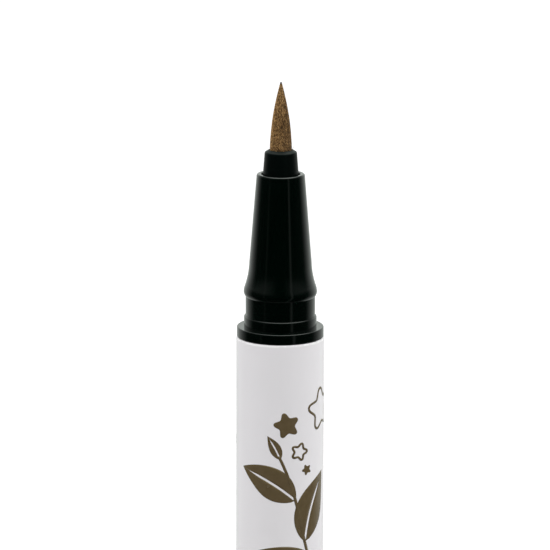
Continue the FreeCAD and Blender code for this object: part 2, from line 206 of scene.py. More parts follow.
floatKind, colourKind = "NodeSocketFloat", "NodeSocketColor"
skinGrain = {"detail": 3.0, "rough": 0.55, "broadShare": 0.2, "middle": 0.5}  # noise lies about its middle
edgeBreakup = {"scale": 1400.0, "detail": 3.0, "low": 0.42, "high": 0.62}
fleckRough = 0.6


def mouldedSkin():
    # Fine flow texture of a moulded or drawn surface: Roughness wanders about Gloss, Height is the grain
    group, given, out = newGroup("mouldedSkin",
        [("Grain Scale", floatKind, 900.0), ("Gloss", floatKind, 0.2), ("Gloss Spread", floatKind, 0.06)],
        [("Roughness", floatKind), ("Height", floatKind)])
    place = piecePlace(group)
    grain = noise(group, place, given["Grain Scale"], skinGrain["detail"], skinGrain["rough"])
    broad = noise(group, place, calc(group, "MULTIPLY", given["Grain Scale"], skinGrain["broadShare"]))
    drift = calc(group, "SUBTRACT", broad, skinGrain["middle"])
    drift = calc(group, "MULTIPLY", drift, given["Gloss Spread"])
    group.links.new(calc(group, "ADD", given["Gloss"], drift), out["Roughness"])
    group.links.new(grain, out["Height"])
    return group


def wornAndHighlitEdge():
    # Handling wear and painted highlight: the piece's edge attribute, broken up by noise, mixes in the edge
    # colour; a lighter edge colour paints a highlight along the rounded edges
    group, given, out = newGroup("wornAndHighlitEdge",
        [("Color", colourKind, (0.5, 0.5, 0.5, 1)), ("Edge Color", colourKind, (0.6, 0.6, 0.6, 1)),
         ("Amount", floatKind, 0.4)],
        [("Color", colourKind), ("Mask", floatKind)])
    edge = addNode(group, "ShaderNodeAttribute", attribute_name="edge").outputs["Fac"]
    grain = noise(group, piecePlace(group), edgeBreakup["scale"], edgeBreakup["detail"])
    limits = {"Value": grain, "From Min": edgeBreakup["low"], "From Max": edgeBreakup["high"]}
    broken = addNode(group, "ShaderNodeMapRange", limits).outputs[0]
    mask = calc(group, "MULTIPLY", calc(group, "MULTIPLY", edge, broken), given["Amount"])
    mixed = addNode(group, "ShaderNodeMix", {"Factor": mask}, data_type="RGBA")
    for socket in [s for s in mixed.inputs if s.type == "RGBA"]:  # A and B exist once for each kind of data
        group.links.new(given["Color" if socket.name == "A" else "Edge Color"], socket)
    group.links.new(next(s for s in mixed.outputs if s.type == "RGBA"), out["Color"])
    group.links.new(mask, out["Mask"])
    return group


def fibreFleck():
    # Flecks of crossing fibres: two noises drawn out along opposite twists about the axis,
    # of which the brighter one shows
    group, given, out = newGroup("fibreFleck",
        [("Scale", floatKind, 3000.0), ("Twist", floatKind, 550.0), ("Stretch", floatKind, 0.35)],
        [("Fleck", floatKind)])
    place = piecePlace(group)
    height = addNode(group, "ShaderNodeSeparateXYZ", {0: place}).outputs["Z"]
    drawnOut = addNode(group, "ShaderNodeCombineXYZ", {"X": 1.0, "Y": 1.0, "Z": given["Stretch"]}).outputs[0]
    layers = []
    for side in (1.0, -1.0):
        angle = calc(group, "MULTIPLY", calc(group, "MULTIPLY", given["Twist"], height), side)
        turned = addNode(group, "ShaderNodeVectorRotate", {"Vector": place, "Angle": angle},
                         rotation_type="Z_AXIS").outputs[0]
        drawn = addNode(group, "ShaderNodeVectorMath", {0: turned, 1: drawnOut}, operation="MULTIPLY")
        layers.append(noise(group, drawn.outputs[0], given["Scale"], rough=fleckRough))
    group.links.new(calc(group, "MAXIMUM", *layers), out["Fleck"])
    return group


skinGroup, edgeGroup, fleckGroup = mouldedSkin(), wornAndHighlitEdge(), fibreFleck()


# Materials


skinDepth, fibreDepth = 0.00002, 0.00004  # of the bump, in metres


def newMaterial(name):  # a material with its tree and its shader
    material = bpy.data.materials.new(name)
    material.use_nodes = True
    return material, material.node_tree, material.node_tree.nodes["Principled BSDF"]


def wanderingShade(tree, grain, look, stops=(0.3, 0.7)):
    # Noise picks between two close colours
    made = addNode(tree, "ShaderNodeValToRGB", {"Fac": grain})
    for stop, spot, colour in zip(made.color_ramp.elements, stops, (look["shade"], look["tint"])):
        stop.position, stop.color = spot, (*colour, 1)
    return made.outputs["Color"]


def skinOf(tree, look):  # mouldedSkin with a look's grain and gloss
    return useGroup(tree, skinGroup, {"Grain Scale": look["grainScale"], "Gloss": look["gloss"],
                                      "Gloss Spread": look["glossSpread"]})


def dressShader(tree, shader, colour, roughness, height=None, grain=0.0, depth=skinDepth):
    # Links colour and roughness; a height, where one is given, bumps the normal
    tree.links.new(colour, shader.inputs["Base Color"])
    tree.links.new(roughness, shader.inputs["Roughness"])
    if height is not None:
        bump = addNode(tree, "ShaderNodeBump", {"Height": height, "Strength": grain, "Distance": depth})
        tree.links.new(bump.outputs[0], shader.inputs["Normal"])


def mouldedPlastic(name, look):
    # Two close shades wander over it, edges get the wear-and-highlight colour, gloss and grain come from
    # mouldedSkin
    material, tree, shader = newMaterial(name)
    shade = wanderingShade(tree, noise(tree, piecePlace(tree), look["cloudScale"]), look)
    edgeWearAndHighlight = {"Color": shade, "Edge Color": (*look["edgeWearAndHighlight"], 1), "Amount": look["edgeAmount"]}
    skin = skinOf(tree, look)
    colour = useGroup(tree, edgeGroup, edgeWearAndHighlight)["Color"]
    dressShader(tree, shader, colour, skin["Roughness"], skin["Height"], look["grain"])
    shader.inputs["IOR"].default_value = look["ior"]
    return material


# The white plastic's lighter edge colour is a painted highlight along its rounded edges, above all the
# barrel's mouth
whitePlastic = mouldedPlastic("whitePlastic", {
    "shade": (0.85, 0.834, 0.852), "tint": (0.864, 0.848, 0.866), "cloudScale": 160.0,
    "edgeWearAndHighlight": (0.97, 0.965, 0.97), "edgeAmount": 0.9, "grainScale": 1100.0, "grain": 0.05,
    "gloss": 0.26, "glossSpread": 0.05, "ior": 1.42})
blackPlastic = mouldedPlastic("blackPlastic", {
    "shade": (0.0001, 0.0018, 0.001), "tint": (0.0004, 0.0023, 0.0014), "cloudScale": 240.0,
    "edgeWearAndHighlight": (0.004, 0.005, 0.0047), "edgeAmount": 0.3, "grainScale": 1600.0, "grain": 0.04,
    "gloss": 0.12, "glossSpread": 0.05, "ior": 1.47})
satinBlack = mouldedPlastic("satinBlack", {
    "shade": (0.0001, 0.002, 0.0015), "tint": (0.0003, 0.0026, 0.002), "cloudScale": 300.0,
    "edgeWearAndHighlight": (0.004, 0.005, 0.0047), "edgeAmount": 0.3, "grainScale": 2200.0, "grain": 0.12,
    "gloss": 0.42, "glossSpread": 0.08, "ior": 1.23})
naturalPlastic = mouldedPlastic("naturalPlastic", {
    "shade": (0.72, 0.73, 0.71), "tint": (0.79, 0.8, 0.78), "cloudScale": 300.0,
    "edgeWearAndHighlight": (0.84, 0.84, 0.83), "edgeAmount": 0.2, "grainScale": 1300.0, "grain": 0.12,
    "gloss": 0.4, "glossSpread": 0.12, "ior": 1.5})
sealRubber = mouldedPlastic("sealRubber", {
    "shade": (0.022, 0.022, 0.022), "tint": (0.034, 0.034, 0.033), "cloudScale": 500.0,
    "edgeWearAndHighlight": (0.06, 0.06, 0.06), "edgeAmount": 0.2, "grainScale": 2600.0, "grain": 0.3,
    "gloss": 0.55, "glossSpread": 0.15, "ior": 1.52})


def drawnSteel(name, look):
    # Shade and gloss follow fine noise
    material, tree, shader = newMaterial(name)
    grain = noise(tree, piecePlace(tree), look["cloudScale"], look["cloudDetail"])
    colour = wanderingShade(tree, grain, look, stops=(0.0, 1.0))
    dressShader(tree, shader, colour, skinOf(tree, look)["Roughness"])
    shader.inputs["Metallic"].default_value = 1.0
    return material


def printFilm(name, look):
    # Printed colour: a slightly uneven film
    material, tree, shader = newMaterial(name)
    grain = noise(tree, piecePlace(tree), look["cloudScale"], look["cloudDetail"], look["cloudRough"])
    colour, skin = wanderingShade(tree, grain, look), skinOf(tree, look)
    dressShader(tree, shader, colour, skin["Roughness"], skin["Height"], look["grain"])
    shader.inputs["IOR"].default_value = look["ior"]
    return material


steel = drawnSteel("brightSteel", {
    "shade": (0.5, 0.5, 0.51), "tint": (0.68, 0.68, 0.68), "cloudScale": 2200.0, "cloudDetail": 3.0,
    "grainScale": 3000.0, "gloss": 0.22, "glossSpread": 0.12})
ink = printFilm("printInk", {
    "shade": (0.118, 0.083, 0.035), "tint": (0.136, 0.096, 0.043), "cloudScale": 1500.0, "cloudDetail": 3.0,
    "cloudRough": 0.6, "grainScale": 1500.0, "grain": 0.06, "gloss": 0.26, "glossSpread": 0.08, "ior": 1.85})


def soakedFibre(name, look):
    # Fibres soaked in colour: flecks pick between dark, middle and light, strands differ in level,
    # and it darkens towards the point if one is given
    material, tree, shader = newMaterial(name)
    grain = {"Scale": look["scale"], "Twist": look["twist"], "Stretch": look["stretch"]}
    fleck = useGroup(tree, fleckGroup, grain)["Fleck"]
    shade = addNode(tree, "ShaderNodeValToRGB", {"Fac": fleck})
    stops = shade.color_ramp.elements
    stops[0].position, stops[1].position = look["darkAt"], look["lightAt"]
    stops[0].color, stops[1].color = (*look["dark"], 1), (*look["light"], 1)
    stops.new((look["darkAt"] + look["lightAt"]) / 2).color = (*look["middle"], 1)
    strand = addNode(tree, "ShaderNodeAttribute", attribute_name="strand").outputs["Fac"]
    level = calc(tree, "MULTIPLY_ADD", strand, look["strand"], 1.0)
    if "point" in look:
        height = addNode(tree, "ShaderNodeSeparateXYZ", {0: piecePlace(tree)}).outputs["Z"]
        low, high, dark = look["point"]
        limits = {"Value": height, "From Min": low * mm, "From Max": high * mm, "To Min": 1.0, "To Max": dark}
        level = calc(tree, "MULTIPLY", level, addNode(tree, "ShaderNodeMapRange", limits).outputs[0])
    scaled = {0: shade.outputs["Color"], "Scale": level}
    colour = addNode(tree, "ShaderNodeVectorMath", scaled, operation="SCALE").outputs[0]
    limits = {"Value": fleck, "To Min": look["gloss"] + look["glossSpread"],
              "To Max": look["gloss"] - look["glossSpread"]}
    rough = addNode(tree, "ShaderNodeMapRange", limits).outputs[0]
    dressShader(tree, shader, colour, rough, fleck, look["grain"], fibreDepth)
    return material


brushFibre = soakedFibre("brushFibre", {
    "dark": (0.06, 0.028, 0.005), "middle": (0.32, 0.18, 0.064), "light": (0.7, 0.45, 0.2),
    "darkAt": 0.45, "lightAt": 0.74, "scale": 7600.0, "twist": 620.0, "stretch": 0.5, "strand": 0.35,
    "grain": 0.8, "gloss": 0.7, "glossSpread": 0.1, "point": (157.98, 158.17, 0.02)})
feedFibre = soakedFibre("feedFibre", {
    "dark": (0.16, 0.11, 0.06), "middle": (0.28, 0.2, 0.12), "light": (0.4, 0.31, 0.2),
    "darkAt": 0.4, "lightAt": 0.75, "scale": 2600.0, "twist": 100.0, "stretch": 0.15, "strand": 0.0,
    "grain": 0.4, "gloss": 0.6, "glossSpread": 0.1})
print("materials:", len(bpy.data.materials), "groups:", len(bpy.data.node_groups))

inside = {"ink_tank": naturalPlastic, "tank_stopper": naturalPlastic, "collector": naturalPlastic,
          "core_bush": naturalPlastic, "seal_ring": sealRubber, "mixing_ball": steel, "relay_core": feedFibre}
for node, material in inside.items():  # pieces that keep their CAD shape
    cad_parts[node].data.materials.clear()
    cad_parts[node].data.materials.append(material)


# Nose section: flange, band, seat, bead, flare and cone


innerRound = 0.05  # corners that hardly show, on any piece
nose = {"spigotBore": 3.6, "spigotLead": 0.3, "spigotLength": 14.0, "spigotRadius": 4.35, "spigotRound": 0.03,
        "flangeThick": 1.24, "flangeRound": 0.13, "flangeUnder": 0.14,
        "bandRadius": 4.31, "bandHeight": 1.29, "bandRound": 0.17, "seatRadius": 4.12, "seatHeight": 2.35,
        "beadRadius": 4.35, "beadUnder": 0.58, "beadUnderArc": 0.96, "beadOver": 0.8, "beadOverArc": 2.74,
        "shoulderRadius": 4.165, "flareRise": 2.71, "flareArc": 10.0, "coneFoot": 3.69,
        "rimRadius": 2.83, "lipRound": 0.22, "lipInner": 0.12, "mouthRadius": 2.3, "mouthDepth": 7.0,
        "webThick": 1.5, "webRadius": 1.2, "cavityRadius": 2.6, "cavityFoot": 1.0, "crease": 0.002}
noseFoot, noseTop, flangeRadius = span("nose_section")
flangeFoot = noseFoot + nose["spigotLength"]
flangeTop = flangeFoot + nose["flangeThick"]
bandTop = flangeTop + nose["bandHeight"]
seatTop = bandTop + nose["seatHeight"]
beadAt = seatTop + nose["beadUnder"]
shoulderAt = beadAt + nose["beadOver"]
coneAt = shoulderAt + nose["flareRise"]
mouthFloor = noseTop - nose["mouthDepth"]
webFoot = mouthFloor - nose["webThick"]
cavityFoot = flangeFoot - nose["cavityFoot"]
addTurned("nose_shell", [
    [(nose["spigotBore"], noseFoot, innerRound),
     (nose["spigotRadius"] - nose["spigotLead"], noseFoot, innerRound),
     (nose["spigotRadius"], noseFoot + nose["spigotLead"], innerRound),
     (nose["spigotRadius"], flangeFoot, nose["spigotRound"]),
     (flangeRadius, flangeFoot, nose["flangeUnder"]), (flangeRadius, flangeTop, nose["flangeRound"]),
     (nose["bandRadius"], flangeTop, nose["crease"]), (nose["bandRadius"], bandTop, nose["bandRound"]),
     (nose["seatRadius"], bandTop, nose["crease"]), (nose["seatRadius"], seatTop, nose["crease"])],
    arcRun((nose["seatRadius"], seatTop), (nose["beadRadius"], beadAt), nose["beadUnderArc"], 1)[1:],
    arcRun((nose["beadRadius"], beadAt), (nose["shoulderRadius"], shoulderAt), nose["beadOverArc"], 1)[1:],
    arcRun((nose["shoulderRadius"], shoulderAt), (nose["coneFoot"], coneAt), nose["flareArc"], -1)[1:],
    [(nose["rimRadius"], noseTop, nose["lipRound"]), (nose["mouthRadius"], noseTop, nose["lipInner"]),
     (nose["mouthRadius"], mouthFloor, innerRound), (nose["webRadius"], mouthFloor, innerRound),
     (nose["webRadius"], webFoot, innerRound), (nose["cavityRadius"], webFoot, innerRound),
     (nose["cavityRadius"], cavityFoot, innerRound), (nose["spigotBore"], cavityFoot, innerRound)]],
    blackPlastic, "pen", ["nose_section"], turns=192, steps=9)


# Brush ferrule


ferrule = {"footRadius": 2.25, "footHeight": 3.5, "footRound": 0.1, "neckRadius": 2.1, "neckRound": 0.03,
           "topRadius": 1.9, "bevelRise": 0.4, "bevelRound": 0.2, "crestRound": 0.06, "crestWear": 0.1,
           "bore": 1.3, "boreLead": 0.1, "leadRound": 0.04, "socketRadius": 1.65, "socketDepth": 4.0}
ferruleFoot, ferruleTop, _ = span("brush_ferrule")
neckFoot = ferruleFoot + ferrule["footHeight"]
socketTop = ferruleFoot + ferrule["socketDepth"]
bevelFoot = ferruleTop - ferrule["bevelRise"]
crestAt = ferruleTop - ferrule["crestWear"]
addTurned("ferrule_sleeve", [
    [(ferrule["socketRadius"], ferruleFoot, innerRound),
     (ferrule["footRadius"], ferruleFoot, ferrule["footRound"]),
     (ferrule["footRadius"], neckFoot, innerRound), (ferrule["neckRadius"], neckFoot, ferrule["neckRound"]),
     (ferrule["neckRadius"], noseTop, 0), (ferrule["topRadius"], bevelFoot, ferrule["bevelRound"]),
     (ferrule["bore"] + ferrule["boreLead"], crestAt, ferrule["crestRound"]),
     (ferrule["bore"], crestAt - ferrule["boreLead"], ferrule["leadRound"]),
     (ferrule["bore"], socketTop, innerRound), (ferrule["socketRadius"], socketTop, innerRound)]],
    satinBlack, "pen", ["brush_ferrule"], steps=9)


# Brush: a soaked core under fine tapered fibres


brush = {"rootRadius": 1.6, "rootHeight": 1.2, "rootRound": 0.1, "radius": 1.25, "tipRadius": 0.08,
         "bellyArc": 35.0, "bellySteps": 60, "coreTurns": 138,
         "grooves": 46, "grooveDepth": 0.018, "grooveSway": 1.7, "grooveWave": 1.3, "grooveTurns": 2,
         "grooveFoot": 0.3, "grooveBlend": 0.4, "grooveFade": 3.0, "grooveCore": 0.3}
brushFoot, brushTop, _ = span("brush")
bellyRun = arcRun((brush["radius"], ferruleTop), (brush["tipRadius"], brushTop), brush["bellyArc"], 1,
                  brush["bellySteps"])


def bellyRadius(height):  # the brush's outer radius at a height, read off its arc
    return np.interp(height, bellyRun[:, 1], bellyRun[:, 0])


def brushCore():
    # Radius = belly + groove depth x cos(grooves x turn + a slow sway), fading towards the point
    rootTop = brushFoot + brush["rootHeight"]
    outline, _ = roundedOutline(
        [(0, brushFoot, 0), (brush["rootRadius"], brushFoot, brush["rootRound"]),
         (brush["rootRadius"], rootTop, brush["rootRound"]), (brush["radius"], rootTop, innerRound),
         (brush["radius"], ferruleTop, 0)],
        bellyRun[1:], [(0, brushTop, 0)])
    points, index = latheGrid(outline, brush["coreTurns"])
    turn, height = np.arctan2(points[:, 1], points[:, 0]), points[:, 2]
    bare = np.clip((height - ferruleTop + brush["grooveFoot"]) / brush["grooveBlend"], 0, 1)
    bare = bare * np.clip((brushTop - height) / brush["grooveFade"], 0, 1)
    sway = brush["grooveSway"] * np.sin(brush["grooveWave"] * height + brush["grooveTurns"] * turn)
    groove = np.cos(brush["grooves"] * turn + sway)
    radius = np.hypot(points[:, 0], points[:, 1])
    change = 1 + bare * brush["grooveDepth"] * groove / np.maximum(radius, brush["grooveCore"])
    points[:, :2] *= change[:, None]
    faces = gridFaces(index)
    addPiece("brush_core", points, faces, brushFibre, "pen", ["brush"])
    print("brush_core:", len(faces), "faces")


fibre = {"count": 330, "rings": 13, "sides": 3, "seed": 23, "width": 0.034, "widthChance": (0.8, 1.2),
         "taper": 0.72, "taperPower": 2.2, "thinRadius": 0.35, "thinLeast": 0.35, "rootDepth": 0.5,
         "shortest": 1.4, "tipGap": 0.06, "shareLeast": 0.06, "shareSpread": 0.94, "sharePower": 0.8,
         "golden": 0.6180339887, "turnChance": 0.3, "liftChance": (-0.02, 0.012), "proud": 0.05,
         "proudRadius": 0.2, "proudBlend": 0.8, "leastRadius": 0.004, "wander": 0.075,
         "waves": (0.6, 2.4), "drift": 0.12, "strayEvery": 66, "strayHeight": 0.35, "strayLean": 0.3,
         "paleSide": 1.1}


def brushFibres():
    # Fibre: height runs from the ferrule to an end where the belly is a chance share of its width;
    # radius = belly - width + lift, turn = own turn + wander x sine; a three-sided section shrinks towards
    # the end. A few strays end low and lean out.
    chance = np.random.default_rng(fibre["seed"])
    count, rings, sides = fibre["count"], fibre["rings"], fibre["sides"]
    number = np.arange(count)
    share = ((number * fibre["golden"]) % 1.0) ** fibre["sharePower"]
    share = fibre["shareLeast"] + fibre["shareSpread"] * share
    end = np.interp(1 - share, 1 - bellyRun[:, 0] / brush["radius"], bellyRun[:, 1])
    end = np.minimum(np.maximum(end, ferruleTop + fibre["shortest"]), brushTop - fibre["tipGap"])
    stray = number % fibre["strayEvery"] == 0
    end[stray] = ferruleTop + fibre["strayHeight"]
    turn = 2 * np.pi * (number + chance.uniform(-fibre["turnChance"], fibre["turnChance"], count)) / count
    run = np.linspace(0, 1, rings)
    height = (ferruleTop - fibre["rootDepth"]) + (end - ferruleTop + fibre["rootDepth"])[:, None] * run
    belly = bellyRadius(height)
    width = fibre["width"] * chance.uniform(*fibre["widthChance"], (count, 1))
    width = width * (1 - fibre["taper"] * run ** fibre["taperPower"])
    width *= np.clip(belly / fibre["thinRadius"], fibre["thinLeast"], 1)
    lift = chance.uniform(*fibre["liftChance"], (count, 1)) * np.sin(np.pi * run)
    lift += fibre["proud"] * np.clip((belly - fibre["proudRadius"]) / fibre["proudBlend"], 0, 1)
    lift += fibre["strayLean"] * stray[:, None] * run ** 2
    radius = np.maximum(belly - width + lift, fibre["leastRadius"])
    waves = chance.uniform(*fibre["waves"], (count, 1))
    sway = fibre["wander"] * np.sin(2 * np.pi * (waves * run + chance.uniform(0, 1, (count, 1))))
    turn = turn[:, None] + sway + chance.uniform(-fibre["drift"], fibre["drift"], (count, 1)) * run
    corner = 2 * np.pi * np.arange(sides) / sides
    outwards = radius[..., None] + width[..., None] * np.cos(corner)
    across = width[..., None] * np.sin(corner)
    x = outwards * np.cos(turn)[..., None] - across * np.sin(turn)[..., None]
    y = outwards * np.sin(turn)[..., None] + across * np.cos(turn)[..., None]
    points = np.stack([x, y, np.broadcast_to(height[..., None], x.shape)], axis=-1)
    index = np.arange(count * rings * sides).reshape(count, rings, sides)
    loop = np.concatenate([index, index[..., :1]], axis=2)
    quads = np.stack([loop[:, :-1, :-1], loop[:, :-1, 1:], loop[:, 1:, 1:], loop[:, 1:, :-1]], axis=-1)
    faces = quads.reshape(-1, 4).tolist() + index[:, 0, ::-1].tolist() + index[:, -1].tolist()
    piece = addPiece("brush_fibres", points.reshape(-1, 3), faces, brushFibre, "pen")
    strand = chance.uniform(-1, 1, count) - fibre["paleSide"] * np.cos(turn[:, 0])  # paler on the left
    strand = np.repeat(strand, rings * sides).astype(np.float32)
    piece.data.attributes.new("strand", "FLOAT", "POINT").data.foreach_set("value", strand)
    print("brush_fibres:", count, "fibres,", len(faces), "faces")


brushCore()
brushFibres()


# Barrel, tail plug and cap


barrel = {"bore": 4.4, "edgeRound": 0.15, "mouthRound": 0.22, "boreRound": 0.08}
barrelFoot, barrelTop, barrelRadius = span("barrel")
addTurned("barrel_tube", [
    [(barrel["bore"], barrelFoot, barrel["boreRound"]), (barrelRadius, barrelFoot, barrel["edgeRound"]),
     (barrelRadius, barrelTop, barrel["mouthRound"]), (barrel["bore"], barrelTop, barrel["boreRound"])]],
    whitePlastic, "pen", ["barrel"], turns=192)

tail = {"stubRadius": 4.2, "stubLength": 8.0, "stubChamfer": 0.4, "stubRound": 0.08, "flangeThick": 1.0,
        "flangeRound": 0.12, "spigotRadius": 4.35, "spigotRound": 0.15, "bore": 3.4, "boreRound": 0.08,
        "floorThick": 1.2, "floorRound": 0.2}
tailFoot, tailTop, tailFlange = span("tail_plug")
stubTop = tailFoot + tail["stubLength"]
tailFlangeTop = stubTop + tail["flangeThick"]
tailFloor = tailFoot + tail["floorThick"]
addTurned("tail_stub", [
    [(0, tailFoot, 0), (tail["stubRadius"] - tail["stubChamfer"], tailFoot, tail["stubRound"]),
     (tail["stubRadius"], tailFoot + tail["stubChamfer"], tail["stubRound"]),
     (tail["stubRadius"], stubTop, innerRound), (tailFlange, stubTop, innerRound),
     (tailFlange, tailFlangeTop, tail["flangeRound"]), (tail["spigotRadius"], tailFlangeTop, innerRound),
     (tail["spigotRadius"], tailTop, tail["spigotRound"]), (tail["bore"], tailTop, tail["boreRound"]),
     (tail["bore"], tailFloor, tail["floorRound"]), (0, tailFloor, 0)]],
    blackPlastic, "pen", ["tail_plug"], closed=False)

cap = {"bore": 4.45, "edgeRound": 0.15, "footRound": 0.1, "lead": 0.2, "leadRound": 0.06, "guide": 4.192,
       "stopRing": 3.692, "stopThick": 1.0, "stopRound": 0.1, "snapRadius": 4.28, "snapDepth": 2.425,
       "snapCrest": 0.2, "snapFlank": 0.25, "snapRound": 0.1}
capFoot, capTop, capRadius = span("cap_shell")
innerFoot, innerTop, innerRim = span("inner_cap")
stopTop = innerTop + cap["stopThick"]  # the inner cap rests under the stop ring
snapAt = capTop - cap["snapDepth"]
snapReach = cap["snapCrest"] + cap["snapFlank"]
addTurned("cap_sleeve", [
    [(cap["guide"], capFoot, innerRound), (capRadius, capFoot, cap["footRound"]),
     (capRadius, capTop, cap["edgeRound"]), (cap["bore"] + cap["lead"], capTop, cap["leadRound"]),
     (cap["bore"], capTop - cap["lead"], cap["leadRound"]),
     (cap["bore"], snapAt + snapReach, cap["snapRound"]),
     (cap["snapRadius"], snapAt + cap["snapCrest"], cap["snapRound"]),
     (cap["snapRadius"], snapAt - cap["snapCrest"], cap["snapRound"]),
     (cap["bore"], snapAt - snapReach, cap["snapRound"]), (cap["bore"], stopTop, cap["stopRound"]),
     (cap["stopRing"], stopTop, cap["stopRound"]), (cap["stopRing"], innerTop, innerRound),
     (cap["guide"], innerTop, innerRound)]],
    whitePlastic, "cap", ["cap_shell"], turns=192)

endPlug = {"headThick": 1.2, "headRound": 0.06, "skirtRadius": 4.142, "skirtTop": 4.5, "skirtRound": 0.1,
           "bossRadius": 2.0, "bossRound": 0.1, "edgeRound": 0.15, "ringOuter": 3.5, "ringInner": 3.1,
           "ringRound": 0.06, "dish": 0.16, "gateRadius": 0.5, "gateDepth": 0.1, "gateFlare": 0.06,
           "gateRound": 0.03}
plugFoot, plugTop, plugRadius = span("cap_end_plug")
dishAt = plugFoot + endPlug["dish"]
gateAt = dishAt + endPlug["gateDepth"]
headTop = plugFoot + endPlug["headThick"]
addTurned("end_plug", [
    [(0, gateAt, 0), (endPlug["gateRadius"], gateAt, endPlug["gateRound"]),
     (endPlug["gateRadius"] + endPlug["gateFlare"], dishAt, endPlug["gateRound"]),
     (endPlug["ringInner"], dishAt, innerRound), (endPlug["ringOuter"], plugFoot, endPlug["ringRound"]),
     (plugRadius, plugFoot, endPlug["edgeRound"]), (plugRadius, headTop, endPlug["headRound"]),
     (endPlug["skirtRadius"], headTop, innerRound),
     (endPlug["skirtRadius"], endPlug["skirtTop"], endPlug["skirtRound"]),
     (endPlug["bossRadius"], endPlug["skirtTop"], innerRound),
     (endPlug["bossRadius"], plugTop, endPlug["bossRound"]), (0, plugTop, 0)]],
    whitePlastic, "cap", ["cap_end_plug"], closed=False)

innerCap = {"bossRadius": 2.0, "bossHeight": 1.0, "bossRound": 0.1, "wall": 3.742, "wallRound": 0.15,
            "bore": 2.992, "rimHeight": 1.5, "rimRound": 0.06, "lead": 0.25, "floorThick": 1.0,
            "floorRound": 0.25}
bossTop = innerFoot + innerCap["bossHeight"]
innerFloor = bossTop + innerCap["floorThick"]
rimFoot = innerTop - innerCap["rimHeight"]
addTurned("inner_cap_cup", [
    [(0, innerFoot, 0), (innerCap["bossRadius"], innerFoot, innerCap["bossRound"]),
     (innerCap["bossRadius"], bossTop, innerRound), (innerCap["wall"], bossTop, innerCap["wallRound"]),
     (innerCap["wall"], rimFoot, innerRound), (innerRim, rimFoot, innerRound),
     (innerRim, innerTop, innerCap["rimRound"]),
     (innerCap["bore"] + innerCap["lead"], innerTop, innerCap["rimRound"]),
     (innerCap["bore"], innerTop - innerCap["lead"], innerCap["rimRound"]),
     (innerCap["bore"], innerFloor, innerCap["floorRound"]), (0, innerFloor, 0)]],
    naturalPlastic, "inner_cap", ["inner_cap"], closed=False, turns=128)

spring = {"wire": 0.45, "meanRadius": 2.475, "turns": 5, "stepsPerTurn": 40, "sides": 10, "seat": 4.5,
          "length": 7.5, "pressedLength": 5.5, "gap": 0.02}


def coilSpring():
    # Circle of wire carried along a climbing circle:
    # centre = mean radius at turn, height = foot + climb x share of the turns
    steps, sides = spring["turns"] * spring["stepsPerTurn"] + 1, spring["sides"]
    turn = np.linspace(0, 2 * np.pi * spring["turns"], steps)
    foot = spring["seat"] + spring["gap"] + spring["wire"] / 2
    climb = spring["length"] - 2 * spring["gap"] - spring["wire"]
    centre = np.column_stack([spring["meanRadius"] * np.cos(turn), spring["meanRadius"] * np.sin(turn),
                              foot + climb * turn / turn[-1]])
    along = np.gradient(centre, axis=0)
    along /= np.linalg.norm(along, axis=1)[:, None]
    out = np.column_stack([np.cos(turn), np.sin(turn), np.zeros(steps)])
    up = np.cross(out, along)
    corner = 2 * np.pi * np.arange(sides) / sides
    ring = np.cos(corner)[:, None] * out[:, None] + np.sin(corner)[:, None] * up[:, None]
    tips = np.repeat(centre[[0, -1], None], sides, axis=1)
    points = np.concatenate([tips[:1], centre[:, None] + spring["wire"] / 2 * ring, tips[1:]])
    index = np.arange(points.shape[0] * sides).reshape(-1, sides)
    index[[0, -1]] = index[[0, -1]][:, :1]
    index = np.column_stack([index, index[:, 0]])
    faces = gridFaces(index[:, ::-1])
    coil = addPiece("coil_spring", points.reshape(-1, 3), faces, steel, "cap", ["inner_cap_spring"])
    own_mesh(coil)
    print("coil_spring:", len(faces), "faces")


coilSpring()


# Print on the barrel and the cap: leaves, stems and stars in one brown film


film = {"proud": 0.012, "thick": 0.018}
star = {"points": 5, "waist": 0.48, "soft": 0.15, "cornerSteps": 5, "guard": 0.01, "step": 0.25,
        "decimals": 2, "closeGap": 0.005, "rows": 8}
leaf = {"columns": 26, "rows": 8, "belly": 0.8, "fullness": 0.9, "leastHalf": 0.02, "veinEnd": 0.86,
        "veinFade": 6, "veinShare": 0.7}


def flatGrid(rows):
    # rows: an array of points (around, up) by row and column; returns points and an index grid
    return rows.reshape(-1, 2), np.arange(rows.shape[0] * rows.shape[1]).reshape(rows.shape[:2])


def sideways(along):  # unit vectors to the left of a walk
    return np.column_stack([-along[:, 1], along[:, 0]]) / np.hypot(*along.T)[:, None]


def starEdge(size, tilt):
    # Corners at alternating distances, each rounded; a point every step keeps the film on the round wall
    number = np.arange(2 * star["points"])
    corner = np.radians(tilt) + np.pi * number / star["points"]
    reach = size * np.where(number % 2 == 0, 1, star["waist"])
    soft = np.full(len(number), star["soft"] * size)
    corners = np.column_stack([-np.sin(corner) * reach, np.cos(corner) * reach, soft])
    edge, _ = roundedOutline(corners, closed=True, steps=star["cornerSteps"], guard=star["guard"])
    ring = np.vstack([edge, edge[:1]])
    gone = np.append(0, np.cumsum(np.hypot(*np.diff(ring, axis=0).T)))
    marks = np.append(gone[:-1], np.arange(0, gone[-1], star["step"]))
    marks = np.unique(np.round(marks, star["decimals"]))
    marks = marks[marks < gone[-1] - star["closeGap"]]
    return np.column_stack([np.interp(marks, gone, ring[:, 0]), np.interp(marks, gone, ring[:, 1])])


def starPatch(size, around, height, tilt, line):
    # Filled: the edge drawn in towards the centre in even steps; with a line width: edge -/+ half of it
    edge, centre = starEdge(size, tilt), np.array((around, height))
    if line:
        side = sideways(np.roll(edge, -1, axis=0) - np.roll(edge, 1, axis=0))
        points, index = flatGrid(centre + edge + np.array([-0.5, 0.5])[:, None, None] * line * side)
    else:
        points, index = flatGrid(centre + np.linspace(0, 1, star["rows"])[:, None, None] * edge)
        index[0] = index[0, 0]
    return points, np.column_stack([index, index[:, 0]])


